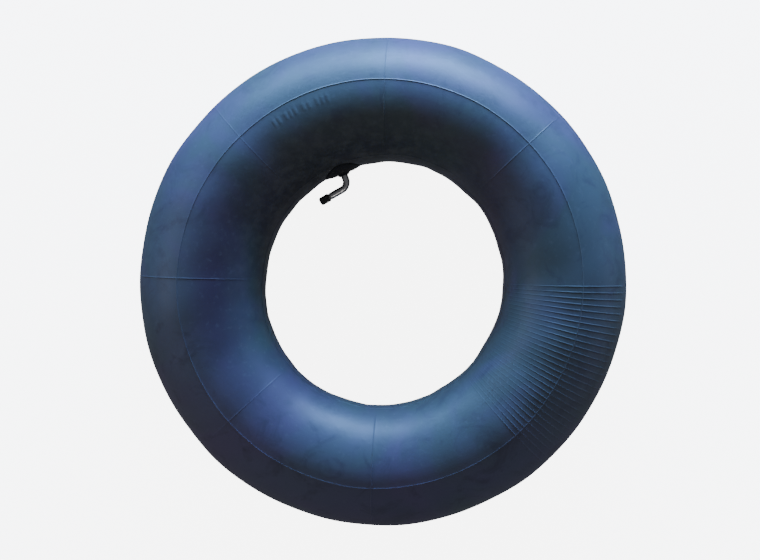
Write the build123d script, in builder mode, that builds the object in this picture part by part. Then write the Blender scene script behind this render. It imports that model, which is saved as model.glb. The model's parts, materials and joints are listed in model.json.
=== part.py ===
from build123d import *

import os
from math import cos, degrees, radians, sin

# Inner tube of a fat ten-inch industrial or garden tyre, with a bent metal valve.
#
# Sizes are in millimetres. The ring lies flat: its axis is Z and its centre is the origin. The
# valve stands in the hole on the +Y side. Its stem leaves the rubber towards the ring's axis and
# then turns towards -X, in the plane Z = 0. Clock angles run clockwise from +Y, seen from +Z.

# ---------------------------------------------------------------- the rubber ring
RING_OUTER_R = 272.0  # to the outer mould seam
RING_INNER_R = 131.0  # to the inner mould seam
SEAM_PROUD = 0.3  # how far the mould seam stands out of the rubber
SEAM_W = 3.0  # width of the seam's flat land
SEAM_SHOULDER = 0.4  # width of the slope on each side of the land
WALL = 2.2

RING_MID_R = (RING_OUTER_R + RING_INNER_R) / 2
SECTION_R = (RING_OUTER_R - RING_INNER_R) / 2 - SEAM_PROUD

# Angles on the cross-section are measured from its crown, positive towards the outside.
RIDGE_ANGLE = 15.0  # the ridge that runs right round each face
RIDGE_HALF_ANGLE = 0.6
RIDGE_H = 0.5

VENT_LINES = (0, 1, 4, 5, 6, 7)  # fine lines across each face; the close ribs fill the other two places
VENT_LINE_FIRST = 21.0  # clock angle of the first one
VENT_LINE_STEP = 45.0
VENT_LINE_SPAN = (-68.0, 74.0)  # where it ends on the cross-section, inside and outside
VENT_LINE_TURN = 0.32  # its width, as an angle about the ring's axis
VENT_LINE_H = 0.5

RIBS = 29  # close ribs across each face
RIB_FIRST = 110.3
RIB_STEP = 1.68
RIB_SPAN = (-80.0, 63.0)
RIB_TURN = 0.5
RIB_H = 0.7
LINE_ROOT = 0.3  # how deep a line's ends start inside the rubber

# ---------------------------------------------------------------- the valve
CORNER = Vector(0, 113.0, 0)  # where the two straight runs of the stem would meet
BEND_R = 9.5
BEND_ANGLE = 80.0
STEM_R = 4.0
STEM_BORE_R = 1.5
FOOT_R = 10.0  # flange that anchors the stem in its rubber base
FOOT_T = 1.4
FOOT_COVER = 0.8  # rubber between the flange and the ring
AIR_HOLE_R = 2.5

PAD_WIDTH = 42.0  # along the ring
PAD_HEIGHT = 56.0  # across the ring
PAD_T = 3.4
PAD_FACE_R = 49.0  # curve of its face across the ring
PAD_BOW_R = 300.0  # curve of its face along the ring
PAD_BLANK = 16.0  # how far its blank reaches into the ring, whose surface cuts it
PAD_SECTOR = 30.0  # angle of the ring that cuts it
BOSS_R = (8.5, 5.6)  # at its root and at its top
BOSS_H = 2.4

# Places on the stem's outer run are distances from the corner.
THREAD_START = 22.5
STEM_TIP = 33.6
THREAD_R = 3.85
THREAD_ROOT_R = 3.45
THREAD_PITCH = 0.79375
THREAD_RUN_IN = 0.5  # from the full stem to the first ridge
CHAMBER_R = 2.65  # where the core screws in
CHAMBER_EDGE = 0.3
CHAMBER_FLOOR = 0.6  # length of the cone at its inner end
LOWER_CHAMBER_R = 2.0
SEAT_TOP = 24.9  # wide end of the cone that the core's collar seals on
SEAT_BOTTOM = 23.5
CHAMBER_END = 12.0

CAP_R = 4.8
CAP_START = 24.8
CAP_END = 35.8
CAP_TOP = 1.2
CAP_BORE_R = 3.9
CAP_MOUTH_EDGE = 0.3
CAP_FLUTES = 24
CAP_FLUTE_R = 0.34
CAP_FLUTE_CENTRE_R = 4.9
CAP_CHAMFER = 0.9
CAP_PLAIN_RIM = 1.1  # band without flutes at the open end
CAP_SEAL_R = 3.8
CAP_SEAL_T = 0.94
FACE_GAP = 0.03  # between faces that touch on the real valve
SMALL_EDGE = 0.2  # chamfer on the small turned pieces

# The core: a plug that screws in, a barrel that hangs from it, and a sprung pin with a cup.
PLUG_R = 2.6
PLUG_BORE_R = 1.6
PLUG_START = 26.9
PLUG_SHOULDER = 31.0
PLUG_TOP = 32.6
POCKET_R = 2.2  # pocket in which the barrel's flange is free to turn
POCKET_LIP_R = 1.9
POCKET_LIP_T = 0.4
BRIDGE_BOTTOM = 29.6  # the bar across the plug, which the valve key turns
BRIDGE_T = 2.0
BRIDGE_W = 4.2

BARREL_TOP = 27.9
BARREL_FLANGE_R = 2.1
BARREL_FLANGE_T = 0.5
BARREL_NECK_R = 1.8
BARREL_BORE_R = 1.25
COLLAR_TOP = 26.2  # collar that presses the seal onto its cone
COLLAR_BOTTOM = 25.6
COLLAR_R = 2.3
SEAL_GROOVE_R = 1.5
SEAL_GROOVE_END = 23.4
SEAL_CLEARANCE = 0.05
BARREL_R = 1.65
BARREL_SLOPE = 0.4  # length of the slope from the groove to the full barrel
BARREL_MOUTH = 17.4
BARREL_MOUTH_R = 1.3
SPRING_SEAT = 19.4
SPRING_SEAT_T = 1.2
SPRING_SEAT_BORE_R = 0.75

PIN_R = 0.5
PIN_PLAY = 0.1
PIN_TIP = 32.7
PIN_COLLAR = 26.6
PIN_COLLAR_R = 1.1
PIN_COLLAR_T = 0.4
RIVET_R = 0.8  # head that holds the cup on the pin
RIVET_T = 0.3
CUP_BASE = 15.2
CUP_BASE_T = 1.0
CUP_RIM = 17.1
CUP_R = 1.75
CUP_BORE_R = 1.5
SPRING_R = 0.9
SPRING_WIRE_R = 0.125
SPRING_COILS = 12

ARM_DIR = Vector(-sin(radians(BEND_ANGLE)), -cos(radians(BEND_ANGLE)), 0)
ARM_PLANE = Plane(origin=CORNER, x_dir=ARM_DIR, z_dir=(0, 0, 1))
ARM_AXIS = Axis(CORNER, ARM_DIR)
FOOT_TOP_Y = RING_INNER_R - FOOT_COVER
PAD_FACE_Y = RING_INNER_R - PAD_T
BOSS_TOP_Y = PAD_FACE_Y - BOSS_H

os.makedirs("parts", exist_ok=True)


def on_section(angle, radius):
    """A point of the ring's cross-section, at an angle from its crown."""
    return RING_MID_R + radius * sin(radians(angle)), radius * cos(radians(angle))


def meridian(clock):
    """The plane that holds the ring's axis and points outwards at a clock angle."""
    side, front = sin(radians(clock)), cos(radians(clock))
    return Plane(origin=(0, 0, 0), x_dir=(side, front, 0), z_dir=(front, -side, 0))


def across(start, end, radius):
    """An arc of the cross-section from one angle to another."""
    middle = on_section((start + end) / 2, radius)
    return ThreePointArc(on_section(start, radius), middle, on_section(end, radius))


def skin_section(plane):
    """The outline of the ring's rubber, filled in, with its seams and ridges."""
    seam_angle = 90 - degrees((SEAM_W / 2 + SEAM_SHOULDER) / SECTION_R)
    ridge_outside = RIDGE_ANGLE + RIDGE_HALF_ANGLE
    ridge_inside = RIDGE_ANGLE - RIDGE_HALF_ANGLE
    with BuildSketch(plane) as section:
        with BuildLine():
            Polyline((RING_OUTER_R, 0), (RING_OUTER_R, SEAM_W / 2), on_section(seam_angle, SECTION_R))
            across(seam_angle, ridge_outside, SECTION_R)
            ThreePointArc(
                on_section(ridge_outside, SECTION_R),
                on_section(RIDGE_ANGLE, SECTION_R + RIDGE_H),
                on_section(ridge_inside, SECTION_R),
            )
            across(ridge_inside, -seam_angle, SECTION_R)
            Polyline(on_section(-seam_angle, SECTION_R), (RING_INNER_R, SEAM_W / 2), (RING_INNER_R, 0))
            mirror(about=Plane.XZ)
        make_face()
    return section.sketch


def raised_lines(clocks, span, turn, height):
    """Thin lines across both faces: each rises out of the rubber and sinks back into it."""
    middle = (span[0] + span[1]) / 2
    first = on_section(span[0], SECTION_R - LINE_ROOT)
    last = on_section(span[1], SECTION_R - LINE_ROOT)
    with BuildSketch(*[meridian(clock + turn / 2) for clock in clocks]) as lines:
        with BuildLine():
            ThreePointArc(first, on_section(middle, SECTION_R + height), last)
            ThreePointArc(last, on_section(middle, SECTION_R - 2 * LINE_ROOT), first)
        make_face()
        mirror(about=Plane.XZ)
    return lines.sketch


def arm_outline(*points):
    """A closed outline beside the stem's outer run: distance from the corner, then radius."""
    with BuildSketch(ARM_PLANE) as outline:
        with BuildLine():
            Polyline(*points, close=True)
        make_face()
    return outline.sketch


# ---------------------------------------------------------------- tube_body
vent_clocks = [VENT_LINE_FIRST + n * VENT_LINE_STEP for n in VENT_LINES]
rib_clocks = [RIB_FIRST + n * RIB_STEP for n in range(RIBS)]

with BuildPart() as tube_body:
    revolve(skin_section(Plane.XZ), axis=Axis.Z)
    revolve(
        raised_lines(vent_clocks, VENT_LINE_SPAN, VENT_LINE_TURN, VENT_LINE_H),
        axis=Axis.Z,
        revolution_arc=VENT_LINE_TURN,
    )
    revolve(
        raised_lines(rib_clocks, RIB_SPAN, RIB_TURN, RIB_H),
        axis=Axis.Z,
        revolution_arc=RIB_TURN,
    )
    with BuildSketch(Plane.XZ):
        with Locations((RING_MID_R, 0)):
            Circle(SECTION_R - WALL)
    revolve(axis=Axis.Z, mode=Mode.SUBTRACT)
    with BuildSketch(Plane.XZ.offset(-RING_INNER_R - 2 * WALL)):
        Circle(AIR_HOLE_R)
    extrude(amount=4 * WALL, mode=Mode.SUBTRACT)

# ---------------------------------------------------------------- valve_pad
with BuildPart() as valve_pad:
    with BuildSketch(Plane.XZ.offset(-PAD_FACE_Y - PAD_BLANK)):
        Ellipse(PAD_WIDTH / 2, PAD_HEIGHT / 2)
    extrude(amount=2 * PAD_BLANK)
    bow_axis = Axis((0, PAD_FACE_Y + PAD_BOW_R, 0), (0, 0, 1))
    bow_plane = Plane(origin=bow_axis.position, x_dir=(0, -1, 0), z_dir=(-1, 0, 0))
    half_height = PAD_HEIGHT / 2 + 2
    face_sag = PAD_FACE_R - (PAD_FACE_R**2 - half_height**2) ** 0.5
    with BuildSketch(bow_plane):
        with BuildLine():
            ThreePointArc(
                (PAD_BOW_R - face_sag, half_height), (PAD_BOW_R, 0), (PAD_BOW_R - face_sag, -half_height)
            )
            Polyline(
                (PAD_BOW_R - face_sag, -half_height),
                (PAD_BOW_R - 2 * PAD_BLANK, -half_height),
                (PAD_BOW_R - 2 * PAD_BLANK, half_height),
                (PAD_BOW_R - face_sag, half_height),
            )
        make_face()
    revolve(axis=bow_axis, revolution_arc=360, mode=Mode.INTERSECT)
    with BuildSketch(Plane.YZ):
        with BuildLine():
            Polyline(
                (FOOT_TOP_Y, 0),
                (FOOT_TOP_Y, BOSS_R[0]),
                (PAD_FACE_Y, BOSS_R[0]),
                (BOSS_TOP_Y, BOSS_R[1]),
                (BOSS_TOP_Y, 0),
                close=True,
            )
        make_face()
    revolve(axis=Axis.Y)
    sector = skin_section(meridian(PAD_SECTOR / 2))
    revolve(sector, axis=Axis.Z, revolution_arc=PAD_SECTOR, mode=Mode.SUBTRACT)
    with BuildSketch(Plane.XZ.offset(-FOOT_TOP_Y)):
        Circle(FOOT_R)
    extrude(amount=FOOT_T, mode=Mode.SUBTRACT)
    with BuildSketch(Plane.XZ.offset(-FOOT_TOP_Y)):
        Circle(STEM_R)
    extrude(amount=PAD_BLANK, mode=Mode.SUBTRACT)
    with BuildSketch(Plane.XZ.offset(-RING_INNER_R - WALL)):
        Circle(AIR_HOLE_R)
    extrude(amount=2 * WALL, mode=Mode.SUBTRACT)

# ---------------------------------------------------------------- valve_stem
thread_ridges = int((STEM_TIP - THREAD_START - THREAD_RUN_IN) / THREAD_PITCH)
thread_outline = [(THREAD_START - 1, 0), (THREAD_START - 1, STEM_R), (THREAD_START, STEM_R)]
for ridge in range(thread_ridges):
    root = THREAD_START + THREAD_RUN_IN + ridge * THREAD_PITCH
    thread_outline += [(root, THREAD_ROOT_R), (root + THREAD_PITCH / 2, THREAD_R)]
thread_outline += [(STEM_TIP, THREAD_ROOT_R), (STEM_TIP, 0)]

with BuildPart() as valve_stem:
    with BuildLine() as run:
        FilletPolyline((0, FOOT_TOP_Y), CORNER, CORNER + ARM_DIR * THREAD_START, radius=BEND_R)
    with BuildSketch(Plane.XZ.offset(-FOOT_TOP_Y)):
        Circle(STEM_R)
    sweep(path=run.line)
    with BuildSketch(Plane.XZ.offset(-FOOT_TOP_Y)):
        Circle(FOOT_R)
    extrude(amount=FOOT_T)
    revolve(arm_outline(*thread_outline), axis=ARM_AXIS)
    with BuildSketch(Plane.XZ.offset(-FOOT_TOP_Y)):
        Circle(STEM_BORE_R)
    sweep(path=run.line, mode=Mode.SUBTRACT)
    chamber = arm_outline(
        (CHAMBER_END - CHAMBER_FLOOR, 0),
        (CHAMBER_END - CHAMBER_FLOOR, STEM_BORE_R),
        (CHAMBER_END, LOWER_CHAMBER_R),
        (SEAT_BOTTOM, LOWER_CHAMBER_R),
        (SEAT_TOP, CHAMBER_R),
        (STEM_TIP - 2 * CHAMBER_EDGE, CHAMBER_R),
        (STEM_TIP, CHAMBER_R + CHAMBER_EDGE),
        (STEM_TIP + 1, CHAMBER_R + CHAMBER_EDGE),
        (STEM_TIP + 1, 0),
    )
    revolve(chamber, axis=ARM_AXIS, mode=Mode.SUBTRACT)

# ---------------------------------------------------------------- core_plug
with BuildPart() as core_plug:
    plug_wall = arm_outline(
        (PLUG_START, POCKET_LIP_R),
        (PLUG_START, PLUG_R - SMALL_EDGE),
        (PLUG_START + SMALL_EDGE, PLUG_R),
        (PLUG_SHOULDER - SMALL_EDGE, PLUG_R),
        (PLUG_SHOULDER, PLUG_R - SMALL_EDGE),
        (PLUG_SHOULDER, PLUG_BORE_R),
        (BARREL_TOP + PIN_PLAY, PLUG_BORE_R),
        (BARREL_TOP + PIN_PLAY, POCKET_R),
        (PLUG_START + POCKET_LIP_T, POCKET_R),
        (PLUG_START + POCKET_LIP_T, POCKET_LIP_R),
    )
    revolve(plug_wall, axis=ARM_AXIS)
    with BuildSketch(Plane(origin=CORNER + ARM_DIR * BRIDGE_BOTTOM, x_dir=(0, 0, 1), z_dir=ARM_DIR)):
        Rectangle(BRIDGE_T, BRIDGE_W)
    extrude(amount=PLUG_TOP - BRIDGE_BOTTOM)
    pin_hole = arm_outline(
        (BARREL_TOP + PIN_PLAY, 0),
        (BARREL_TOP + PIN_PLAY, PIN_R + PIN_PLAY),
        (PLUG_TOP + 1, PIN_R + PIN_PLAY),
        (PLUG_TOP + 1, 0),
    )
    revolve(pin_hole, axis=ARM_AXIS, mode=Mode.SUBTRACT)

# ---------------------------------------------------------------- core_barrel
with BuildPart() as core_barrel:
    barrel = arm_outline(
        (BARREL_TOP, BARREL_BORE_R),
        (BARREL_TOP, BARREL_FLANGE_R),
        (BARREL_TOP - BARREL_FLANGE_T, BARREL_FLANGE_R),
        (BARREL_TOP - BARREL_FLANGE_T, BARREL_NECK_R),
        (COLLAR_TOP, BARREL_NECK_R),
        (COLLAR_TOP, COLLAR_R),
        (COLLAR_BOTTOM, COLLAR_R),
        (COLLAR_BOTTOM, SEAL_GROOVE_R),
        (SEAL_GROOVE_END, SEAL_GROOVE_R),
        (SEAL_GROOVE_END - BARREL_SLOPE, BARREL_R),
        (BARREL_MOUTH, BARREL_R),
        (BARREL_MOUTH, BARREL_MOUTH_R),
        (SPRING_SEAT - SPRING_SEAT_T, SPRING_SEAT_BORE_R),
        (SPRING_SEAT, SPRING_SEAT_BORE_R),
        (SPRING_SEAT, BARREL_BORE_R),
    )
    revolve(barrel, axis=ARM_AXIS)

# ---------------------------------------------------------------- core_barrel_seal
with BuildPart() as core_barrel_seal:
    collar_seal = arm_outline(
        (COLLAR_BOTTOM, SEAL_GROOVE_R),
        (COLLAR_BOTTOM, CHAMBER_R - SEAL_CLEARANCE),
        (SEAT_TOP, CHAMBER_R - SEAL_CLEARANCE),
        (SEAT_BOTTOM, LOWER_CHAMBER_R - SEAL_CLEARANCE),
        (SEAL_GROOVE_END, SEAL_GROOVE_R),
    )
    revolve(collar_seal, axis=ARM_AXIS)

# ---------------------------------------------------------------- core_pin
with BuildPart() as core_pin:
    pin = arm_outline(
        (CUP_BASE - RIVET_T, 0),
        (CUP_BASE - RIVET_T, RIVET_R),
        (CUP_BASE, RIVET_R),
        (CUP_BASE, PIN_R),
        (PIN_COLLAR, PIN_R),
        (PIN_COLLAR, PIN_COLLAR_R),
        (PIN_COLLAR + PIN_COLLAR_T, PIN_COLLAR_R),
        (PIN_COLLAR + PIN_COLLAR_T, PIN_R),
        (PIN_TIP - SMALL_EDGE, PIN_R),
        (PIN_TIP, PIN_R - SMALL_EDGE),
        (PIN_TIP, 0),
    )
    revolve(pin, axis=ARM_AXIS)

# ---------------------------------------------------------------- core_cup
with BuildPart() as core_cup:
    cup = arm_outline(
        (CUP_BASE, PIN_R),
        (CUP_BASE, CUP_R - SMALL_EDGE),
        (CUP_BASE + SMALL_EDGE, CUP_R),
        (CUP_RIM, CUP_R),
        (CUP_RIM, CUP_BORE_R),
        (CUP_BASE + CUP_BASE_T, CUP_BORE_R),
        (CUP_BASE + CUP_BASE_T, PIN_R),
    )
    revolve(cup, axis=ARM_AXIS)

# ---------------------------------------------------------------- core_seat_seal
with BuildPart() as core_seat_seal:
    seat_seal = arm_outline(
        (CUP_BASE + CUP_BASE_T, PIN_R),
        (CUP_BASE + CUP_BASE_T, CUP_BORE_R),
        (BARREL_MOUTH - FACE_GAP, CUP_BORE_R),
        (BARREL_MOUTH - FACE_GAP, PIN_R),
    )
    revolve(seat_seal, axis=ARM_AXIS)

# ---------------------------------------------------------------- core_spring
coil_start = SPRING_SEAT + SPRING_WIRE_R + FACE_GAP
coil_height = PIN_COLLAR - SPRING_SEAT - 2 * (SPRING_WIRE_R + FACE_GAP)

with BuildPart() as core_spring:
    with BuildLine() as coil:
        Helix(
            pitch=coil_height / SPRING_COILS,
            height=coil_height,
            radius=SPRING_R,
            center=CORNER + ARM_DIR * coil_start,
            direction=ARM_DIR,
        )
    with BuildSketch(Plane(origin=coil.line @ 0, z_dir=coil.line % 0)):
        Circle(SPRING_WIRE_R)
    sweep(path=coil.line, is_frenet=True)

# ---------------------------------------------------------------- valve_cap
with BuildPart() as valve_cap:
    shell = arm_outline(
        (CAP_START, CAP_BORE_R + CAP_MOUTH_EDGE / 2),
        (CAP_START, CAP_R - SMALL_EDGE),
        (CAP_START + SMALL_EDGE, CAP_R),
        (CAP_END - CAP_CHAMFER, CAP_R),
        (CAP_END, CAP_R - CAP_CHAMFER),
        (CAP_END, 0),
        (CAP_END - CAP_TOP, 0),
        (CAP_END - CAP_TOP, CAP_BORE_R),
        (CAP_START + CAP_MOUTH_EDGE, CAP_BORE_R),
    )
    revolve(shell, axis=ARM_AXIS)
    with BuildSketch(Plane(origin=CORNER + ARM_DIR * (CAP_START + CAP_PLAIN_RIM), z_dir=ARM_DIR)):
        with PolarLocations(CAP_FLUTE_CENTRE_R, CAP_FLUTES):
            Circle(CAP_FLUTE_R)
    extrude(amount=CAP_END - CAP_START, mode=Mode.SUBTRACT)

# ---------------------------------------------------------------- cap_seal
with BuildPart() as cap_seal:
    disc = arm_outline(
        (STEM_TIP + FACE_GAP, 0),
        (STEM_TIP + FACE_GAP, CAP_SEAL_R),
        (STEM_TIP + FACE_GAP + CAP_SEAL_T, CAP_SEAL_R),
        (STEM_TIP + FACE_GAP + CAP_SEAL_T, 0),
    )
    revolve(disc, axis=ARM_AXIS)

# ---------------------------------------------------------------- names and files
tube_body.part.label = "tube_body"
export_step(tube_body.part, "parts/tube_body.step")
valve_pad.part.label = "valve_pad"
export_step(valve_pad.part, "parts/valve_pad.step")
valve_stem.part.label = "valve_stem"
export_step(valve_stem.part, "parts/valve_stem.step")
core_plug.part.label = "core_plug"
export_step(core_plug.part, "parts/core_plug.step")
core_barrel.part.label = "core_barrel"
export_step(core_barrel.part, "parts/core_barrel.step")
core_barrel_seal.part.label = "core_barrel_seal"
export_step(core_barrel_seal.part, "parts/core_barrel_seal.step")
core_pin.part.label = "core_pin"
export_step(core_pin.part, "parts/core_pin.step")
core_cup.part.label = "core_cup"
export_step(core_cup.part, "parts/core_cup.step")
core_seat_seal.part.label = "core_seat_seal"
export_step(core_seat_seal.part, "parts/core_seat_seal.step")
core_spring.part.label = "core_spring"
export_step(core_spring.part, "parts/core_spring.step")
valve_cap.part.label = "valve_cap"
export_step(valve_cap.part, "parts/valve_cap.step")
cap_seal.part.label = "cap_seal"
export_step(cap_seal.part, "parts/cap_seal.step")
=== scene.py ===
import json
from math import cos, pi, radians, sin, tan

import bpy
import numpy as np
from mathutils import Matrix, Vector


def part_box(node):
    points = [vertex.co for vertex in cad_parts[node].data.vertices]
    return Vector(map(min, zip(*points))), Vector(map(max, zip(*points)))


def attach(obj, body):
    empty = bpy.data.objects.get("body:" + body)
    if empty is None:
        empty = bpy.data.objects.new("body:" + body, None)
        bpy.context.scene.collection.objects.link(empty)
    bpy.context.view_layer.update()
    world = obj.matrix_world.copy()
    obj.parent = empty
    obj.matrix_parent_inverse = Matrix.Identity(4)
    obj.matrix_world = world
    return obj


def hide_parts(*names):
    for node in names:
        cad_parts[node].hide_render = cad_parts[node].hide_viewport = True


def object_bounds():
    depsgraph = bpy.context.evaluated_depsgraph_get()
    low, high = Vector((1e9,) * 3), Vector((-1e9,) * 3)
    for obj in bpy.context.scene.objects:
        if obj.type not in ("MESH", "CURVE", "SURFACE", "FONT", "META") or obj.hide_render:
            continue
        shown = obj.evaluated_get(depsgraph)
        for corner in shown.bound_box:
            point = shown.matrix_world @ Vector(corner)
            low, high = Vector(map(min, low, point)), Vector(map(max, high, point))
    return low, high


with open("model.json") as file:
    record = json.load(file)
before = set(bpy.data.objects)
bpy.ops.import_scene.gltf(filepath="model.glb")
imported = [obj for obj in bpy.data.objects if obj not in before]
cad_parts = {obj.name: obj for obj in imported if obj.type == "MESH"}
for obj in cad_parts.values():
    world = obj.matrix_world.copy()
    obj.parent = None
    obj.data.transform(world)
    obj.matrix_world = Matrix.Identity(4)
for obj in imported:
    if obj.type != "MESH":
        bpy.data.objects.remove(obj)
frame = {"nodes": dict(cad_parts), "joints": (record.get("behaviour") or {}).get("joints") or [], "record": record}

# A fat rubber inner tube that lies flat, with a bent metal valve in its hole. Metres throughout.
# Clock angles run clockwise from +Y seen from +Z, so that the valve is at clock 0. Angles on the
# ring's cross-section are measured from the crown of the front face, positive towards the outside.
# All angles are in degrees.

cad_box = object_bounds()
MM = 0.001

# ---------------------------------------------------------------- sizes read from the frame
mounts = {mount["name"]: mount for mount in frame["record"]["mounts"]}
RING_OUTER_R = mounts["tyre_side"]["dims"]["r_mm"] * MM
RING_INNER_R = mounts["rim_side"]["dims"]["r_mm"] * MM
LAND_H = 0.3 * MM  # both radii are those of the seams' lands, which stand this far off the rubber
SECTION_R = (RING_OUTER_R - RING_INNER_R) / 2 - LAND_H
THREAD_R = mounts["valve_thread"]["dims"]["r_mm"] * MM
THREAD_LENGTH = mounts["valve_thread"]["dims"]["length_mm"] * MM
ARM_DIR = Vector(mounts["valve_thread"]["axis"])

joints = {joint["name"]: joint for joint in frame["joints"]}
CORNER = Vector(joints["cap_turn"]["pos_m"])  # where the stem's two straight runs would meet
pad_low, pad_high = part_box("valve_pad")


# ================================================================ camera
PHOTO_UP = 19.5  # clock angle that is up in the picture
CAMERA_LEAN = 3.7  # how far the camera stands off the ring's axis
CAMERA_LEAN_CLOCK = PHOTO_UP + 65.0  # and towards which side
CAMERA_DISTANCE = 2.1
VIEW_WIDTH = 849 * MM  # width of what it sees at the ring's middle
AIM_RIGHT = -2.2 * MM  # the middle of the view, from the ring's middle
AIM_UP = 1.9 * MM


def clock_dir(clock):
    """The horizontal direction at a clock angle."""
    return Vector((sin(radians(clock)), cos(radians(clock)), 0))


def make_camera():
    lean = radians(CAMERA_LEAN)
    away = clock_dir(CAMERA_LEAN_CLOCK) * sin(lean) + Vector((0, 0, cos(lean)))
    picture_up = clock_dir(PHOTO_UP)
    picture_right = clock_dir(PHOTO_UP + 90)
    aim = picture_right * AIM_RIGHT + picture_up * AIM_UP
    data = bpy.data.cameras.new("camera")
    data.sensor_width = 36
    data.lens = data.sensor_width * CAMERA_DISTANCE / VIEW_WIDTH
    camera = bpy.data.objects.new("camera", data)
    bpy.context.scene.collection.objects.link(camera)
    right = picture_up.cross(away).normalized()
    up = away.cross(right)
    camera.matrix_world = matrix_of(right, up, away, aim + away * CAMERA_DISTANCE)
    bpy.context.scene.camera = camera


def matrix_of(x_dir, y_dir, z_dir, place):
    """The matrix that stands an object at a place with its axes along three directions."""
    matrix = x_dir.to_track_quat("X", "Y").to_matrix().to_4x4()
    for row in range(3):
        matrix[row][0], matrix[row][1] = x_dir[row], y_dir[row]
        matrix[row][2], matrix[row][3] = z_dir[row], place[row]
    return matrix


make_camera()


# ================================================================ materials
class Nodes:
    """Short names for building one node tree."""

    def __init__(self, name):
        self.material = bpy.data.materials.new(name)
        self.material.use_nodes = True
        self.tree = self.material.node_tree
        self.shader = self.tree.nodes["Principled BSDF"]
        self.place = self.tree.nodes.new("ShaderNodeTexCoord").outputs["Object"]

    def link(self, output, target):
        self.tree.links.new(output, target)
        return output

    def noise(self, scale, detail=3.0, roughness=0.55, distortion=0.0, place=None):
        node = self.tree.nodes.new("ShaderNodeTexNoise")
        node.inputs["Scale"].default_value = scale
        node.inputs["Detail"].default_value = detail
        node.inputs["Roughness"].default_value = roughness
        node.inputs["Distortion"].default_value = distortion
        self.link(place or self.place, node.inputs["Vector"])
        return node.outputs["Fac"]

    def stretched(self, x, y, z):
        node = self.tree.nodes.new("ShaderNodeMapping")
        node.inputs["Scale"].default_value = (x, y, z)
        self.link(self.place, node.inputs["Vector"])
        return node.outputs["Vector"]

    def ramp(self, value, *stops):
        """A colour for each value. Each stop is a position and its colour."""
        node = self.tree.nodes.new("ShaderNodeValToRGB")
        while len(node.color_ramp.elements) < len(stops):
            node.color_ramp.elements.new(0.5)
        for element, (position, color) in zip(node.color_ramp.elements, stops):
            element.position = position
            element.color = (*color, 1)
        self.link(value, node.inputs["Fac"])
        return node.outputs["Color"]

    def spread(self, value, low, high, to_low, to_high):
        """A value carried over from one range to another, held at its ends."""
        node = self.tree.nodes.new("ShaderNodeMapRange")
        names = ("From Min", "From Max", "To Min", "To Max")
        for name, number in zip(names, (low, high, to_low, to_high)):
            node.inputs[name].default_value = number
        self.link(value, node.inputs["Value"])
        return node.outputs["Result"]

    def mix(self, factor, below, color):
        """A plain colour laid over what is below it, as far as the factor says."""
        node = self.tree.nodes.new("ShaderNodeMix")
        node.data_type = "RGBA"
        self.link(factor, node.inputs[0])
        self.link(below, node.inputs[6])
        if isinstance(color, tuple):
            node.inputs[7].default_value = (*color, 1)
        else:
            self.link(color, node.inputs[7])
        return node.outputs[2]

    def bump(self, height, strength, distance, below=None):
        node = self.tree.nodes.new("ShaderNodeBump")
        node.inputs["Strength"].default_value = strength
        node.inputs["Distance"].default_value = distance
        self.link(height, node.inputs["Height"])
        if below is not None:
            self.link(below, node.inputs["Normal"])
        return node.outputs["Normal"]

    def attribute(self, name):
        node = self.tree.nodes.new("ShaderNodeAttribute")
        node.attribute_name = name
        return node.outputs["Fac"]

    def finish(self, color, roughness, normal, **plain):
        self.link(color, self.shader.inputs["Base Color"])
        self.link(roughness, self.shader.inputs["Roughness"])
        self.link(normal, self.shader.inputs["Normal"])
        for name, value in plain.items():
            self.shader.inputs[name].default_value = value
        return self.material


def tube_rubber():
    """Blue-black butyl rubber: cloudy colour, three patches (painted bounce light, painted shade, and grey dust
    with painted shade), a little dust and a fine skin.
    """
    n = Nodes("tube_rubber")
    cloud = n.noise(9.0, 4.0, 0.6, 0.4)
    tint = n.noise(7.0, 3.0, 0.55, 0.9)
    speck = n.noise(160.0, 3.0, 0.6)
    smudge = n.noise(26.0, 4.0, 0.65, 1.2)
    base = n.ramp(
        cloud,
        (0.3, (0.068, 0.070, 0.096)),
        (0.5, (0.084, 0.088, 0.126)),
        (0.7, (0.100, 0.106, 0.155)),
    )
    tinted = n.mix(n.spread(tint, 0.47, 0.60, 0.0, 0.75), base, (0.068, 0.102, 0.098))
    purple = n.mix(n.spread(tint, 0.46, 0.34, 0.0, 0.75), tinted, (0.104, 0.076, 0.150))
    # Painted bounce light: a lighter, bluer patch on the outside of the ring, across from the valve.
    with_bounce_light = n.mix(n.attribute("painted_bounce_light"), purple, (0.125, 0.125, 0.225))
    # Painted shade: a dark violet patch on the inner slope at clock 290, where little light falls.
    with_painted_shade = n.mix(n.attribute("painted_shade"), with_bounce_light, (0.045, 0.026, 0.062))
    # Dust and painted shade: a darker, flecked neutral grey on the hole's wall by the valve.
    flecks = n.noise(75.0, 4.0, 0.7)
    dust_and_shade_grey = n.ramp(flecks, (0.42, (0.036, 0.035, 0.035)), (0.64, (0.110, 0.114, 0.102)))
    with_dust_and_shade = n.mix(n.attribute("dust_and_shade"), with_painted_shade, dust_and_shade_grey)
    smudged = n.mix(n.spread(smudge, 0.52, 0.70, 0.0, 0.5), with_dust_and_shade, (0.048, 0.046, 0.070))
    dusty = n.mix(n.spread(speck, 0.58, 0.75, 0.0, 0.22), smudged, (0.15, 0.17, 0.21))
    rough = n.spread(cloud, 0.3, 0.7, 0.54, 0.44)
    skin = n.bump(n.noise(420.0, 2.0, 0.5), 0.10, 0.4 * MM)
    lumps = n.bump(n.noise(38.0, 3.0, 0.5), 0.20, 1.2 * MM, skin)
    return n.finish(dusty, rough, lumps, IOR=1.5)


def pad_rubber():
    """Matt black moulded rubber with a fine grain."""
    n = Nodes("pad_rubber")
    cloud = n.noise(60.0, 4.0)
    base = n.ramp(cloud, (0.3, (0.003, 0.003, 0.004)), (0.7, (0.008, 0.008, 0.010)))
    rough = n.spread(cloud, 0.3, 0.7, 0.62, 0.5)
    return n.finish(base, rough, n.bump(n.noise(900.0, 2.0), 0.25, 0.3 * MM))


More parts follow.
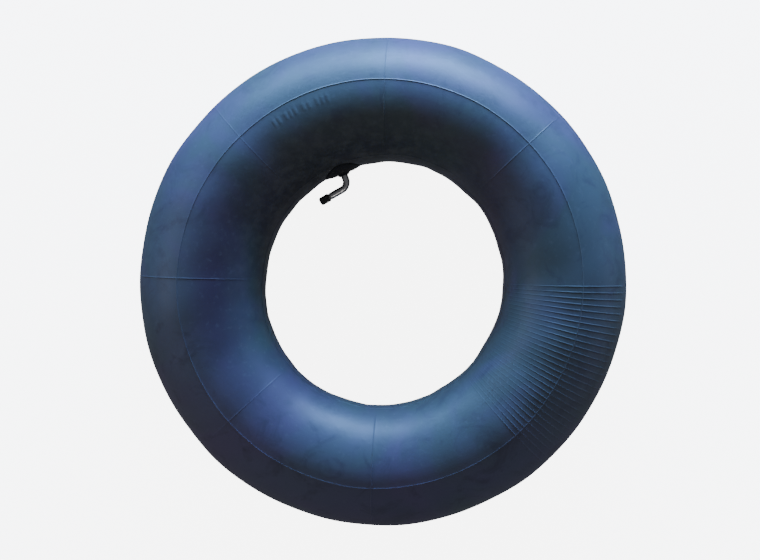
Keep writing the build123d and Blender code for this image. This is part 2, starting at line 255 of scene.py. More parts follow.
def plated_metal():
    """Dull nickel plate: drawn streaks, a little tarnish and small dents."""
    n = Nodes("plated_brass")
    streaks = n.noise(300.0, 3.0, 0.6, 0.0, n.stretched(1.0, 1.0, 0.08))
    tarnish = n.noise(140.0, 4.0, 0.6, 0.6)
    base = n.ramp(
        tarnish,
        (0.3, (0.30, 0.29, 0.28)),
        (0.62, (0.52, 0.51, 0.49)),
        (0.8, (0.60, 0.57, 0.53)),
    )
    rough = n.spread(streaks, 0.3, 0.7, 0.24, 0.38)
    normal = n.bump(streaks, 0.12, 0.1 * MM)
    return n.finish(base, rough, normal, Metallic=1.0)


def core_brass():
    """Turned brass with fine tool rings."""
    n = Nodes("core_brass")
    cloud = n.noise(500.0, 3.0)
    base = n.ramp(cloud, (0.3, (0.48, 0.31, 0.11)), (0.7, (0.66, 0.46, 0.20)))
    rough = n.spread(cloud, 0.3, 0.7, 0.26, 0.42)
    return n.finish(base, rough, n.bump(n.noise(2500.0, 2.0), 0.1, 0.03 * MM), Metallic=1.0)


def spring_steel():
    """Drawn stainless wire."""
    n = Nodes("spring_steel")
    cloud = n.noise(1500.0, 3.0)
    base = n.ramp(cloud, (0.3, (0.42, 0.42, 0.43)), (0.7, (0.60, 0.60, 0.60)))
    rough = n.spread(cloud, 0.3, 0.7, 0.22, 0.38)
    return n.finish(base, rough, n.bump(cloud, 0.1, 0.02 * MM), Metallic=1.0)


def seal_rubber(name, dark, light):
    """Small moulded seals, matt, with a soft bloom."""
    n = Nodes(name)
    cloud = n.noise(700.0, 3.0)
    base = n.ramp(cloud, (0.3, dark), (0.7, light))
    rough = n.spread(cloud, 0.3, 0.7, 0.68, 0.55)
    return n.finish(base, rough, n.bump(n.noise(2500.0, 2.0), 0.2, 0.05 * MM))


def cap_plastic():
    """Black moulded plastic, finely grained, scuffed grey on its high spots."""
    n = Nodes("cap_plastic")
    scuff = n.noise(420.0, 4.0, 0.65, 0.3)
    base = n.ramp(
        scuff,
        (0.35, (0.004, 0.004, 0.005)),
        (0.62, (0.010, 0.010, 0.011)),
        (0.8, (0.03, 0.03, 0.032)),
    )
    rough = n.spread(scuff, 0.3, 0.7, 0.36, 0.52)
    return n.finish(base, rough, n.bump(n.noise(1600.0, 2.0), 0.15, 0.08 * MM))


def pale_floor(glow):
    """A white surface that glows, so that it comes out near white under weak light."""
    n = Nodes("pale_floor")
    cloud = n.noise(1.2, 3.0)
    base = n.ramp(cloud, (0.3, (0.86, 0.86, 0.86)), (0.7, (0.90, 0.90, 0.90)))
    rough = n.spread(cloud, 0.3, 0.7, 0.85, 0.9)
    normal = n.bump(n.noise(60.0, 2.0), 0.04, 1 * MM)
    glowing = {"Emission Color": (1, 1, 1, 1), "Emission Strength": glow}
    return n.finish(base, rough, normal, **glowing)


# ================================================================ mesh helpers
def make_piece(name, points, faces, material, smooth=True):
    mesh = bpy.data.meshes.new(name)
    mesh.from_pydata([tuple(point) for point in points], [], [tuple(face) for face in faces])
    mesh.validate()
    mesh.update()
    if smooth:
        mesh.polygons.foreach_set("use_smooth", [True] * len(mesh.polygons))
    mesh.materials.append(material)
    piece = bpy.data.objects.new(name, mesh)
    bpy.context.scene.collection.objects.link(piece)
    return piece


def grid_faces(rows, columns):
    """Faces of a grid of points whose rows are rings and whose last row joins its first."""
    r, c = np.meshgrid(np.arange(rows), np.arange(columns), indexing="ij")
    r2, c2 = (r + 1) % rows, (c + 1) % columns
    corners = [r * columns + c, r2 * columns + c, r2 * columns + c2, r * columns + c2]
    return np.stack(corners, axis=-1).reshape(-1, 4)


def smoothstep(value, low, high):
    t = np.clip((value - low) / (high - low), 0, 1)
    return t * t * (3 - 2 * t)


def bump_shape(offset, half_width):
    """A rounded ridge across an offset: 1 at its middle, 0 beyond its half width."""
    t = np.clip(np.abs(offset) / half_width, 0, 1)
    return 0.5 + 0.5 * np.cos(pi * t)


def turn_gap(clock, target):
    """The signed gap in degrees between clock angles."""
    return (clock - target + 180) % 360 - 180


def along_span(value, span, fades):
    """1 along a span and 0 outside it, fading in and out over the given lengths at its ends."""
    fade_in = smoothstep(value, span[0], span[0] + fades[0])
    return fade_in * (1 - smoothstep(value, span[1] - fades[1], span[1]))


# ================================================================ the rubber ring
# Fine lines across the face: the clock angle of each and how strongly the mould printed it.
VENT_LINES = {21.3: 1.0, 66.6: 0.5, 201.5: 1.0, 246.8: 0.4, 290.9: 0.55, 336.0: 0.25}
VENT_LINE_HALF = 0.24  # half its width
VENT_LINE_H = 0.5 * MM
VENT_LINE_SPAN = (-66, 76)
VENT_LINE_FADES = (14, 10)

# Close ribs across the face, beside one another.
RIBS = [110.3 + 1.68 * n for n in range(29)]
RIB_HALF = 0.24
RIB_H = 0.42 * MM
RIB_SPAN = (-80, 68)
RIB_FADES = (22, 5)
RIB_LOW = 0.3  # how tall a rib is on the wall, compared with the face
RIB_LOW_SPAN = (-35, 12)  # it grows to its full height between these angles
RIB_WEAR = 0.45  # how much lower the last rib stands than the first, on the wall
RIB_WEAR_SPAN = (10, -20)

RIDGE_ANGLE = 15.0
RIDGE_HALF = 0.7
RIDGE_H = 0.5 * MM
FOLD_H = 0.8 * MM  # the section is a little fuller where the ridge runs
FOLD_SPREAD = 20.0

SEAM_HALF = 1.3
SEAM_H = 0.5 * MM

BASE_LINE_ANGLE = -64.0  # edge of the band that lies on the rim, drawn only near the valve
BASE_LINE_HALF = 1.2
BASE_LINE_H = 0.5 * MM
BASE_LINE_CLOCK = 14.0  # middle of its arc
BASE_LINE_REACH = (30, 48)  # it fades out between these angles from its middle

FLASH_ANGLE = -75.0  # a thin flash line close to the hole's edge, on the side away from the valve
FLASH_HALF = 1.0
FLASH_H = 0.55 * MM

# A row of plain moulded dashes just inside the ridge.
MARK_CLOCKS = [-13.5, -11.9, -9.4, -7.8, -6.2, -3.4, -1.8, 0.9, 2.5, 4.1]
MARK_HALF = 0.42
MARK_EDGE = (0.9, 1.05)  # its sides fall between these places, in half widths
MARK_H = 0.15 * MM
MARK_SPAN = (0.5, 8.9)
MARK_FADES = (2.0, 2.0)

# How the outline strays from a circle: times round the ring, clock angle of the most, millimetres.
HOLE_STRAY = ((0, 0, 3.0), (1, 155, 3.1), (2, 96, 2.8))  # the tube is fatter on one side
OUTSIDE_STRAY = ((1, 260, 0.7), (2, 90, 0.7))

# Soft waves of blown-up rubber: millimetres, times round the ring, times round its section, phase.
WAVES = (
    (0.225, 5, 1, 1.7),
    (0.225, 5, -1, 0.9),
    (0.40, 9, 1, 0.7),
    (0.22, 14, -2, 2.1),
    (0.16, 23, 3, 0.5),
)
CALM = 0.35  # how much of the waves is left at the valve
CALM_REACH = (8, 20)  # clock angles from the valve, here and below

# Small buckles along the hole's edge, where the rubber is shortest.
RIPPLES = ((0.18, 13, 0.6), (0.135, 22, 2.0), (0.072, 37, 4.0))  # millimetres, times round, phase
CREASES = (  # clock angle, half width, millimetres deep
    (41, 4.5, 0.30),
    (77, 3.0, 0.21),
    (124, 3.6, 0.36),
    (151, 2.4, 0.24),
    (176, 5.0, 0.42),
    (207, 3.2, 0.27),
    (243, 4.2, 0.36),
    (262, 2.2, 0.18),
    (297, 5.2, 0.30),
    (334, 3.0, 0.18),
)
CREASE_SPREAD = 17  # how far they reach from the hole's edge, on the section
CREASE_REACH = (10, 20)

# Broad patches where the rubber's colour is changed: painted bounce light, painted shade, and grey dust with
# painted shade.
# Each: strength, clock angle and half width, and angle on the section and half width.
PATCHES = {
    # painted bounce light, lighter and bluer
    "painted_bounce_light": (0.6, 215, 85, 28, 30),
    # painted shade, dark violet
    "painted_shade": (0.9, 290, 36, -18, 24),
    # grey dust with painted shade
    "dust_and_shade": (0.85, -5, 55, -62, 42),
}

THICKNESS_SHARE = 0.5  # how much of the section's change in width shows in its thickness
COLUMN_STEP = 1.8  # degrees between the mesh's lines where nothing is raised
COLUMN_GAP = 0.07  # the least gap between two of them
ROW_STEP = 3.6
ROW_GAP = 0.12
ACROSS_LINE = (-1.2, -0.85, -0.4, 0, 0.4, 0.85, 1.2)  # mesh lines over a raised line, half widths
ACROSS_MARK = (-1.2, -1.05, -0.9, 0, 0.9, 1.05, 1.2)
MARK_ROWS = 12
MARK_ROWS_INSET = 0.7


def on_one_face(angle):
    """The place on the front face that matches an angle on either face, from -90 to 90."""
    return np.where(np.abs(angle) <= 90, angle, np.sign(angle) * (180 - np.abs(angle)))


def patch_share(clock, angle, strength, middle, half_turn, section_middle, half_section):
    """How much of a patch's colour shows at each place, the same on both faces."""
    along = turn_gap(clock, middle) / half_turn
    across = (on_one_face(angle) - section_middle) / half_section
    return strength * np.exp(-(along**2) - across**2)


def ring_columns():
    """Clock angles of the ring's columns, close together where a line has to be drawn."""
    clocks = list(np.arange(0, 360, COLUMN_STEP))
    for line in VENT_LINES:
        clocks += [line + VENT_LINE_HALF * k for k in ACROSS_LINE]
    for rib in RIBS:
        clocks += [rib + RIB_HALF * k for k in ACROSS_LINE]
    for mark in MARK_CLOCKS:
        clocks += [mark + MARK_HALF * k for k in ACROSS_MARK]
    return thinned(np.mod(clocks, 360), COLUMN_GAP)


def section_rows():
    """Angles of the ring's rows, close together at the seams, the ridges and the marks."""
    angles = list(np.arange(-180, 180, ROW_STEP))
    for ridge in (RIDGE_ANGLE, 180 - RIDGE_ANGLE):
        angles += [ridge + RIDGE_HALF * k for k in ACROSS_LINE]
    for line, half in ((BASE_LINE_ANGLE, BASE_LINE_HALF), (FLASH_ANGLE, FLASH_HALF)):
        for middle in (line, -180 - line):
            angles += [middle + half * k for k in ACROSS_LINE]
    for seam in (-90, 90):
        angles += [seam + SEAM_HALF * k for k in ACROSS_LINE]
    first, last = MARK_SPAN[0] + MARK_ROWS_INSET, MARK_SPAN[1] - MARK_ROWS_INSET
    angles += list(np.linspace(first, last, MARK_ROWS))
    return thinned(np.mod(angles, 360), ROW_GAP)


def thinned(values, gap):
    """Sorted values without those that almost repeat the one before."""
    kept = []
    for value in np.sort(values):
        if not kept or value - kept[-1] > gap:
            kept.append(value)
    return np.array(kept)


def away_from_valve(clock, near, far):
    """0 where the valve's base sits and 1 away from it."""
    return smoothstep(np.abs(turn_gap(clock, 0)), near, far)


def stray(clock, terms):
    """How far an edge lies outside its nominal circle."""
    c = np.radians(clock)
    return sum(much * np.cos(times * c - radians(most)) for times, most, much in terms) * MM


def waves(clock, angle):
    c, a = np.radians(clock), np.radians(angle)
    height = sum(much * np.sin(round_ring * c + round_section * a + phase)
                 for much, round_ring, round_section, phase in WAVES)
    return height * (CALM + (1 - CALM) * away_from_valve(clock, *CALM_REACH)) * MM


def hole_creases(clock, angle):
    near_edge = np.exp(-((np.abs(turn_gap(angle, -90)) / CREASE_SPREAD) ** 2))
    c = np.radians(clock)
    ripple = sum(much * np.sin(times * c + phase) for much, times, phase in RIPPLES)
    pinch = sum(deep * bump_shape(turn_gap(clock, place), half) for place, half, deep in CREASES)
    return (ripple - pinch) * near_edge * away_from_valve(clock, *CREASE_REACH) * MM


def raised(clock, angle):
    """Height of the moulded lines above the rubber. angle runs from -180 to 180."""
    face = on_one_face(angle)
    front = np.abs(angle) <= 90
    ridge = RIDGE_H * bump_shape(face - RIDGE_ANGLE, RIDGE_HALF)
    seam = SEAM_H * bump_shape(np.abs(face) - 90, SEAM_HALF)
    near_valve = 1 - smoothstep(np.abs(turn_gap(clock, BASE_LINE_CLOCK)), *BASE_LINE_REACH)
    base_line = BASE_LINE_H * bump_shape(face - BASE_LINE_ANGLE, BASE_LINE_HALF) * near_valve
    flash = FLASH_H * bump_shape(face - FLASH_ANGLE, FLASH_HALF) * (1 - near_valve)

    vents = sum(strength * bump_shape(turn_gap(clock, line), VENT_LINE_HALF)
                for line, strength in VENT_LINES.items())
    vents = vents * along_span(face, VENT_LINE_SPAN, VENT_LINE_FADES)

    ribs = sum(bump_shape(turn_gap(clock, rib), RIB_HALF) for rib in RIBS)
    ribs = ribs * along_span(face, RIB_SPAN, RIB_FADES)
    ribs = ribs * (RIB_LOW + (1 - RIB_LOW) * smoothstep(face, *RIB_LOW_SPAN))
    worn = smoothstep(clock, RIBS[0], RIBS[-1]) * smoothstep(face, *RIB_WEAR_SPAN)
    ribs = ribs * (1 - RIB_WEAR * worn)

    edge_in, edge_out = (MARK_HALF * share for share in MARK_EDGE)
    marks = sum(1 - smoothstep(np.abs(turn_gap(clock, mark)), edge_in, edge_out)
                for mark in MARK_CLOCKS)
    marks = marks * along_span(face, MARK_SPAN, MARK_FADES) * front

    lines = np.maximum.reduce([ridge, VENT_LINE_H * vents, RIB_H * ribs, seam, base_line, flash])
    return lines + MARK_H * marks


def ring_skin(clock, angle, with_lines=True):
    """The rubber's surface: distance from the ring's axis, and Z. angle runs from -180 to 180."""
    a = np.radians(angle)
    inner = RING_INNER_R + LAND_H + stray(clock, HOLE_STRAY)
    outer = RING_OUTER_R - LAND_H + stray(clock, OUTSIDE_STRAY)
    height = FOLD_H * np.exp(-np.abs(on_one_face(angle) - RIDGE_ANGLE) / FOLD_SPREAD)
    height = height + waves(clock, angle) + hole_creases(clock, angle)
    if with_lines:
        height = height + raised(clock, angle)
    section = (outer - inner) / 2
    radius = (outer + inner) / 2 + (section + height) * np.sin(a)
    half_thickness = SECTION_R + (section - SECTION_R) * THICKNESS_SHARE - FOLD_H
    z = (half_thickness + height) * np.cos(a)
    return radius, z


def tube_body():
    clocks, angles = ring_columns(), section_rows()
    clock, angle = np.meshgrid(clocks, np.where(angles > 180, angles - 360, angles), indexing="ij")
    radius, z = ring_skin(clock, angle)
    c = np.radians(clock)
    points = np.stack([radius * np.sin(c), radius * np.cos(c), z], axis=-1).reshape(-1, 3)
    faces = grid_faces(len(clocks), len(angles))
    piece = make_piece("rubber_ring", points, faces, tube_rubber())
    for name, patch in PATCHES.items():
        attribute = piece.data.attributes.new(name, "FLOAT", "POINT")
        attribute.data.foreach_set("value", patch_share(clock, angle, *patch).reshape(-1))
    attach(piece, "tube")
    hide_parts("tube_body")


tube_body()


# ================================================================ the valve's rubber base
PAD_HALF_WIDTH = (pad_high.x - pad_low.x) / 2
PAD_HALF_HEIGHT = (pad_high.z - pad_low.z) / 2
PAD_T = 3.4 * MM
PAD_EDGE_T = 0.5 * MM
PAD_CROWN = 1.3  # how early its thickness falls off towards the rim
PAD_SUNK = 0.5 * MM  # its underside lies this far inside the ring's skin
PAD_COLUMNS = 120
PAD_FACE_REACHES = [*np.linspace(0.06, 0.94, 34), 0.955, 0.97]  # 0 at the boss, 1 at the rim
PAD_RIM = (  # its thin edge: the same reach, and millimetres into the rubber
    (0.982, -0.85), (0.991, -0.70), (0.997, -0.50), (1.0, -0.25), (1.0, 0.2),
)
PAD_BACK_REACHES = np.linspace(0.985, 0.0, 12)
RIM_LINE_H = 0.3 * MM  # a low moulded line near the rim
RIM_LINE_SHARE = 0.86
RIM_LINE_SPREAD = 0.035
STEM_R = 4.0 * MM
# The lip round the stem: millimetres beyond the stem's radius, and above the boss's top.
BOSS_LIP = ((-0.2, -0.5), (0.0, -0.1), (0.25, 0.0))
BOSS_H = 2.4 * MM
BOSS_TOP_R = 5.1 * MM
BOSS_ROUND_W = 0.7 * MM  # the round at the top's edge
BOSS_ROUND_H = 0.45 * MM
BOSS_FLARE_W = 2.9 * MM  # the slope from there down to the pad's face
BOSS_FLARE = 1.4  # how hollow that slope is
BOSS_ROOT_R = 8.5 * MM


def hole_wall(x, z):
    """The Y of the ring's surface inside the hole, on the valve's side."""
    clock = np.degrees(np.arcsin(x / RING_INNER_R))
    angle = -np.degrees(np.arccos(z / SECTION_R))
    radius, _ = ring_skin(clock, angle, with_lines=False)
    return np.sqrt(radius**2 - x**2)


def pad_face(x, z, share):
    """The Y of the base's face. share runs from 0 at its middle to 1 at its rim."""
    thickness = PAD_EDGE_T + (PAD_T - PAD_EDGE_T) * (1 - share**2) ** PAD_CROWN
    rim_line = RIM_LINE_H * np.exp(-(((share - RIM_LINE_SHARE) / RIM_LINE_SPREAD) ** 2))
    return hole_wall(x, z) - thickness - rim_line


def valve_pad():
    turn = np.linspace(0, 2 * pi, PAD_COLUMNS, endpoint=False)
    across, along = np.cos(turn), np.sin(turn)
    rows = []

    def row_on_circle(radius, height):
        """A row round the stem, at a height above the pad's face."""
        x, z = radius * across, radius * along
        share = np.sqrt((x / PAD_HALF_WIDTH) ** 2 + (z / PAD_HALF_HEIGHT) ** 2)
        rows.append(np.stack([x, pad_face(x, z, share) - height, z], axis=-1))

    def row_on_oval(reach, share=None, depth=0.0):
        """A row between the boss's circle and the rim's oval, on the face or at a depth."""
        x = (BOSS_ROOT_R + (PAD_HALF_WIDTH - BOSS_ROOT_R) * reach) * across
        z = (BOSS_ROOT_R + (PAD_HALF_HEIGHT - BOSS_ROOT_R) * reach) * along
        y = hole_wall(x, z) + depth if share is None else pad_face(x, z, share)
        rows.append(np.stack([x, y, z], axis=-1))

    for beyond, above in BOSS_LIP:
        row_on_circle(STEM_R + beyond * MM, BOSS_H + above * MM)
    for share in np.linspace(0, 1, 5):
        row_on_circle(BOSS_TOP_R + BOSS_ROUND_W * share, BOSS_H - BOSS_ROUND_H * share**2)
    for share in np.linspace(0.2, 1, 9):
        radius = BOSS_TOP_R + BOSS_ROUND_W + BOSS_FLARE_W * share
        row_on_circle(radius, (BOSS_H - BOSS_ROUND_H) * (1 - share) ** BOSS_FLARE)
    for reach in PAD_FACE_REACHES:
        row_on_oval(reach, share=reach)
    for reach, depth in PAD_RIM:
        row_on_oval(reach, depth=depth * MM)
    for reach in PAD_BACK_REACHES:
        row_on_oval(reach, depth=PAD_SUNK)
    hole_r = STEM_R + BOSS_LIP[0][0] * MM
    x, z = hole_r * across, hole_r * along
    rows.append(np.stack([x, hole_wall(x, z) + PAD_SUNK, z], axis=-1))
    points = np.concatenate(rows)
    faces = grid_faces(len(rows), PAD_COLUMNS)
    piece = make_piece("valve_base", points, faces, pad_rubber())
    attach(piece, "tube")
    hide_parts("valve_pad")


valve_pad()


# ================================================================ the bent stem
BEND_R = 9.5 * MM
BEND_TURN = Vector((0, -1, 0)).angle(ARM_DIR)
BEND_REACH = BEND_R * tan(BEND_TURN / 2)  # from the corner to each end of the bend
FOOT_Y = RING_INNER_R - 0.8 * MM
FIRST_RUN = FOOT_Y - CORNER.y - BEND_REACH
FOOT_R = 10.0 * MM
FOOT_T = 1.4 * MM
FOOT_EDGE = 0.2 * MM
FOOT_FILLET = 0.3 * MM
BORE_R = 1.5 * MM
STEM_TIP = 33.6 * MM  # places on the outer run are distances from the corner
THREAD_START = STEM_TIP - THREAD_LENGTH
THREAD_ROOT_R = THREAD_R - 0.4 * MM
THREAD_PITCH = joints["cap_lift"]["range_m"][1] / (joints["cap_turn"]["range_deg"][1] / 360)
THREAD_FLAT = 0.125  # how flat its crests and roots are
THREAD_ROWS = 9  # rows of points in each pitch
THREAD_END_GAP = 0.45 * MM  # plain length beyond each end
THREAD_DEEPENS = 0.5 * MM  # length over which it reaches its full depth
# Millimetres before the thread, and below the stem's radius.
SHOULDER_ROWS = ((0.3, 0.02), (0.2, 0.08), (0.12, 0.16))
# Millimetres before the tip, and beyond the thread's root.
TIP_ROWS = ((0.35, 0.08), (0.12, 0.0), (0.0, -0.15))
# The chamber that takes the core: millimetres from the tip, and radius.
CHAMBER_ROWS = (
    (0.0, 2.98), (0.1, 2.92), (0.6, 2.65), (8.7, 2.65), (10.1, 2.0), (21.6, 2.0), (22.2, 1.5),
)
BEND_GAP = 1 * MM  # plain length between the bend and the outer run's first row
BEND_WRINKLES = 5.5
BEND_WRINKLE_H = 0.06 * MM
BEND_INSIDE_FLAT = 0.10 * MM
BEND_OUTSIDE_FLAT = 0.14 * MM
STEM_COLUMNS = 72
FIRST_RUN_ROWS = 8
BEND_ROWS = 44
OUTER_RUN_ROWS = 12
BORE_ROWS = 25


def stem_place(distance):
    """Centre and direction of the stem at a distance from its foot."""
    if distance < FIRST_RUN:
        return Vector((0, FOOT_Y - distance, 0)), Vector((0, -1, 0))
    turn = min((distance - FIRST_RUN) / BEND_R, BEND_TURN)
    direction = Vector((-sin(turn), -cos(turn), 0))
    on_bend = Vector((BEND_R * (cos(turn) - 1), FOOT_Y - FIRST_RUN - BEND_R * sin(turn), 0))
    return on_bend + direction * max(distance - FIRST_RUN - BEND_R * BEND_TURN, 0), direction


def along_arm(from_corner):
    """How far a place on the outer run is from the foot, given its distance from the corner."""
    return FIRST_RUN + BEND_R * BEND_TURN + from_corner - BEND_REACH


def stem_row(distance, radius):
    """A ring of points round the stem. radius is a number or one number for each column."""
    centre, direction = stem_place(distance)
    outwards = direction.cross(Vector((0, 0, 1)))  # away from the middle of the bend
    turn = np.linspace(0, 2 * pi, STEM_COLUMNS, endpoint=False)
    radius = np.broadcast_to(radius, turn.shape)
    offsets = np.outer(radius * np.cos(turn), outwards) + np.outer(radius * np.sin(turn), (0, 0, 1))
    return np.array(centre) + offsets


def thread_radius(from_corner, depth):
    """The radius all round the stem at a place on its thread."""
    turn = np.linspace(0, 1, STEM_COLUMNS, endpoint=False)
    phase = ((from_corner - THREAD_START) / THREAD_PITCH + turn) % 1
    valley = np.clip(np.abs(2 * phase - 1) * (1 + 2 * THREAD_FLAT) - THREAD_FLAT, 0, 1)
    return THREAD_R - (THREAD_R - THREAD_ROOT_R) * valley * depth


def bend_wear(distance):
    """The radius round the bend, with small wrinkles on its inside and a slight flattening."""
    turn = np.linspace(0, 2 * pi, STEM_COLUMNS, endpoint=False)
    share = np.clip((distance - FIRST_RUN) / (BEND_R * BEND_TURN), 0, 1)
    inside = np.clip(-np.cos(turn), 0, 1) ** 2 * sin(pi * share)
    outside = np.clip(np.cos(turn), 0, 1) ** 2 * sin(pi * share)
    wrinkle = BEND_WRINKLE_H * sin(share * 2 * pi * BEND_WRINKLES) * sin(pi * share)
    return STEM_R + inside * (wrinkle - BEND_INSIDE_FLAT) - outside * BEND_OUTSIDE_FLAT


def valve_stem():
    foot = (
        (0, BORE_R),
        (0, FOOT_R - FOOT_EDGE),
        (FOOT_EDGE, FOOT_R),
        (FOOT_T - FOOT_EDGE, FOOT_R),
        (FOOT_T, FOOT_R - FOOT_EDGE),
        (FOOT_T, STEM_R + FOOT_FILLET),
    )
    bend_length = BEND_R * BEND_TURN
    rows = [stem_row(distance, radius) for distance, radius in foot]
    for distance in np.linspace(FOOT_T + FOOT_FILLET, FIRST_RUN, FIRST_RUN_ROWS, endpoint=False):
        rows.append(stem_row(distance, STEM_R))
    for distance in FIRST_RUN + bend_length * np.linspace(0, 1, BEND_ROWS):
        rows.append(stem_row(distance, bend_wear(distance)))
    plain_end = THREAD_START - THREAD_END_GAP
    for place in np.linspace(BEND_REACH + BEND_GAP, plain_end, OUTER_RUN_ROWS):
        rows.append(stem_row(along_arm(place), STEM_R))
    for before, below in SHOULDER_ROWS:
        rows.append(stem_row(along_arm(THREAD_START - before * MM), STEM_R - below * MM))
    for place in np.arange(THREAD_START, STEM_TIP - THREAD_END_GAP, THREAD_PITCH / THREAD_ROWS):
        depth = np.clip((place - THREAD_START) / THREAD_DEEPENS, 0, 1)
        rows.append(stem_row(along_arm(place), thread_radius(place, depth)))
    for before, beyond in TIP_ROWS:
        rows.append(stem_row(along_arm(STEM_TIP - before * MM), THREAD_ROOT_R + beyond * MM))
    for inwards, radius in CHAMBER_ROWS:
        rows.append(stem_row(along_arm(STEM_TIP - inwards * MM), radius * MM))
    for distance in FIRST_RUN + bend_length * np.linspace(1, 0, BORE_ROWS):
        rows.append(stem_row(distance, BORE_R))
    faces = grid_faces(len(rows), STEM_COLUMNS)
    piece = make_piece("bent_stem", np.concatenate(rows), faces, plated_metal())
    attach(piece, "tube")
    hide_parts("valve_stem")


valve_stem()


# ================================================================ the cap
CAP_START = 24.5 * MM
CAP_END = 36.2 * MM
CAP_R = 4.8 * MM
CAP_BORE_R = 3.9 * MM
CAP_TOP = 1.6 * MM
CAP_RIM = 1.1 * MM  # a plain band at its mouth
CAP_ROUND = 2.6 * MM  # its round end, drawn in a little lengthwise
CAP_ROUND_SHARE = 0.97
EDGE_GAP = 0.15 * MM  # a row this far from an edge keeps the edge crisp
CAP_FLUTES = 24
CAP_COLUMNS = CAP_FLUTES * 10
FLUTE_DEPTH = 0.34 * MM
FLUTE_SHARPNESS = 1.5
FLUTE_FADE = 1.2  # how early the flutes run out on the round end
FLUTE_START = 0.5 * MM  # length over which the flutes reach their full depth
FLUTED_INSET = 0.05 * MM  # how much thinner the fluted part is than the band
MOUTH_BEVEL = (0.25 * MM, 0.2 * MM)
MOUTH_ROWS = ((0.0, 0.18), (0.06, 0.06), (0.18, 0.0))  # round edge: millimetres on, and inset
END_SHARES = (0.94, 0.85, 0.7)  # rows on its flat end, as shares of the end's radius
END_DROP = 0.04 * MM
DISH_SHARES = (0.66, 0.63, 0.6, 0.3, 0.02)  # rows in the shallow dish in that end
DISH_DEPTH = 0.16 * MM
BORE_END_SHARES = (0.02, 0.5, 0.97)  # rows on the bore's end, as shares of its radius


def cap_row(place, radius, flute=0.0):
    """A ring of points round the cap. flute is how deep its flutes are there, from 0 to 1."""
    centre, direction = stem_place(along_arm(place))
    side = direction.cross(Vector((0, 0, 1)))
    turn = np.linspace(0, 2 * pi, CAP_COLUMNS, endpoint=False)
    groove = (0.5 + 0.5 * np.cos(CAP_FLUTES * turn)) ** FLUTE_SHARPNESS
    reach = radius - FLUTE_DEPTH * flute * groove
    offsets = np.outer(reach * np.cos(turn), side) + np.outer(reach * np.sin(turn), (0, 0, 1))
    return np.array(centre) + offsets


def valve_cap():
    end_r = CAP_R - CAP_ROUND
    band_end = CAP_START + CAP_RIM
    flutes_end = CAP_END - CAP_ROUND
    bevel_length, bevel_width = MOUTH_BEVEL
    rows = [cap_row(CAP_START + bevel_length, CAP_BORE_R)]
    rows.append(cap_row(CAP_START, CAP_BORE_R + bevel_width))
    for step, inset in MOUTH_ROWS:
        rows.append(cap_row(CAP_START + step * MM, CAP_R - inset * MM))
    rows.append(cap_row(band_end - EDGE_GAP, CAP_R))
    for share in np.linspace(0, 1, 6):
        radius = CAP_R - FLUTED_INSET * share
        rows.append(cap_row(band_end + FLUTE_START * share, radius, share**0.5))
    for place in np.linspace(band_end + 2 * FLUTE_START, flutes_end - EDGE_GAP, 8):
        rows.append(cap_row(place, CAP_R - FLUTED_INSET, 1))
    for turn in np.linspace(0, pi / 2, 11):
        inset = FLUTED_INSET + (CAP_ROUND - FLUTED_INSET) * (1 - cos(turn))
        place = flutes_end + CAP_ROUND * sin(turn) * CAP_ROUND_SHARE
        rows.append(cap_row(place, CAP_R - inset, cos(turn) ** FLUTE_FADE))
    for share in END_SHARES:
        rows.append(cap_row(CAP_END - END_DROP * share, end_r * share))
    for share in DISH_SHARES:
        rows.append(cap_row(CAP_END - DISH_DEPTH, end_r * share))
    outside_rows = len(rows)
    for share in BORE_END_SHARES:
        rows.append(cap_row(CAP_END - CAP_TOP, CAP_BORE_R * share))
    rows.append(cap_row(CAP_END - CAP_TOP - EDGE_GAP, CAP_BORE_R))

    # The outside and the bore don't join at their middles: each is closed by a face of its own.
    faces = grid_faces(len(rows), CAP_COLUMNS)
    face_rows = faces // CAP_COLUMNS
    joins = (face_rows.min(axis=1) == outside_rows - 1) & (face_rows.max(axis=1) == outside_rows)
    faces = [tuple(face) for face in faces[~joins]]
    first_bore = outside_rows * CAP_COLUMNS
    faces.append(tuple(reversed(range(first_bore - CAP_COLUMNS, first_bore))))
    faces.append(tuple(range(first_bore, first_bore + CAP_COLUMNS)))
    piece = make_piece("fluted_cap", np.concatenate(rows), faces, cap_plastic())
    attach(piece, "valve_cap")
    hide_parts("valve_cap")


valve_cap()


# ================================================================ stage
FLOOR_GAP = 0.3 * MM  # the rubber's waves reach a little below the CAD box
FLOOR_HALF = 6.0
FLOOR_GLOW = 6.5
WORLD_COLOR = (0.85, 0.88, 1.0, 1)
WORLD_STRENGTH = 0.19

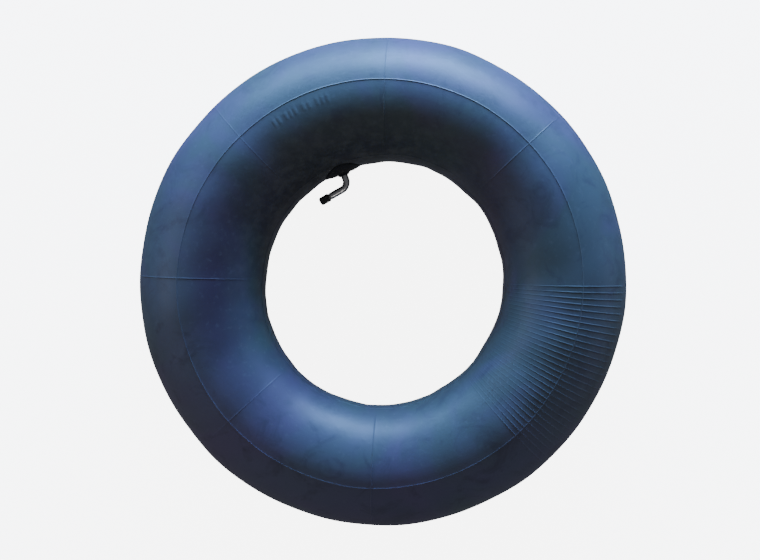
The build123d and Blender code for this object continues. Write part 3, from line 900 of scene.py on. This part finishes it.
# Each light: clock angle, distance, height, size, power and colour. All of them aim at the origin.
LIGHTS = {
    "sky": (PHOTO_UP - 3, 2.2, 0.34, (2.6, 0.78), 190, (0.25, 0.50, 1.0)),
    "window": (PHOTO_UP + 17, 2.1, 0.34, (1.2, 0.7), 66, (0.30, 0.54, 1.0)),
    "side": (PHOTO_UP - 80, 2.0, 1.0, (1.4, 0.8), 5, (1.0, 0.93, 0.88)),
    "rim": (PHOTO_UP + 97, 2.0, 0.06, (1.6, 0.4), 4, (0.50, 0.58, 1.0)),
    "lamp": (PHOTO_UP + 150, 1.2, 1.6, (0.35, 0.35), 3.2, (1.0, 0.98, 0.95)),
}
LIT_BY_LAMP = ("bent_stem", "fluted_cap")


def make_floor():
    low = cad_box[0].z - FLOOR_GAP
    corners = ((-1, -1), (1, -1), (1, 1), (-1, 1))
    points = [(x * FLOOR_HALF, y * FLOOR_HALF, low) for x, y in corners]
    floor = make_piece("floor", points, [(0, 1, 2, 3)], pale_floor(FLOOR_GLOW), smooth=False)
    floor.visible_glossy = False
    floor.visible_diffuse = False


def area_light(name, clock, distance, height, size, power, color):
    data = bpy.data.lights.new(name, "AREA")
    data.shape = "RECTANGLE"
    data.size, data.size_y = size
    data.energy = power
    data.color = color
    light = bpy.data.objects.new(name, data)
    light.location = clock_dir(clock) * distance + Vector((0, 0, height))
    light.rotation_mode = "QUATERNION"
    light.rotation_quaternion = (-light.location).to_track_quat("-Z", "Y")
    bpy.context.scene.collection.objects.link(light)
    return light


def make_lights():
    """A wide low sky beyond the valve with a window in it, weak lights from the sides, a faint fill
    and a small lamp that reaches only the metal and the cap."""
    lights = {name: area_light(name, *settings) for name, settings in LIGHTS.items()}
    lit = bpy.data.collections.new("lit_by_lamp")
    for name in LIT_BY_LAMP:
        lit.objects.link(bpy.data.objects[name])
    lights["lamp"].light_linking.receiver_collection = lit
    world = bpy.data.worlds.new("world")
    world.use_nodes = True
    background = world.node_tree.nodes["Background"]
    background.inputs["Color"].default_value = WORLD_COLOR
    background.inputs["Strength"].default_value = WORLD_STRENGTH
    bpy.context.scene.world = world


make_floor()
make_lights()

brass = core_brass()
looks = {
    "core_plug": brass,
    "core_barrel": brass,
    "core_pin": brass,
    "core_cup": brass,
    "core_spring": spring_steel(),
    "core_barrel_seal": seal_rubber("seal_rubber", (0.16, 0.018, 0.012), (0.26, 0.035, 0.022)),
    "cap_seal": seal_rubber("cap_seal_rubber", (0.008, 0.008, 0.009), (0.018, 0.018, 0.02)),
}
looks["core_seat_seal"] = looks["core_barrel_seal"]
for node, material in looks.items():
    slots = frame["nodes"][node].data.materials
    slots.clear()
    slots.append(material)
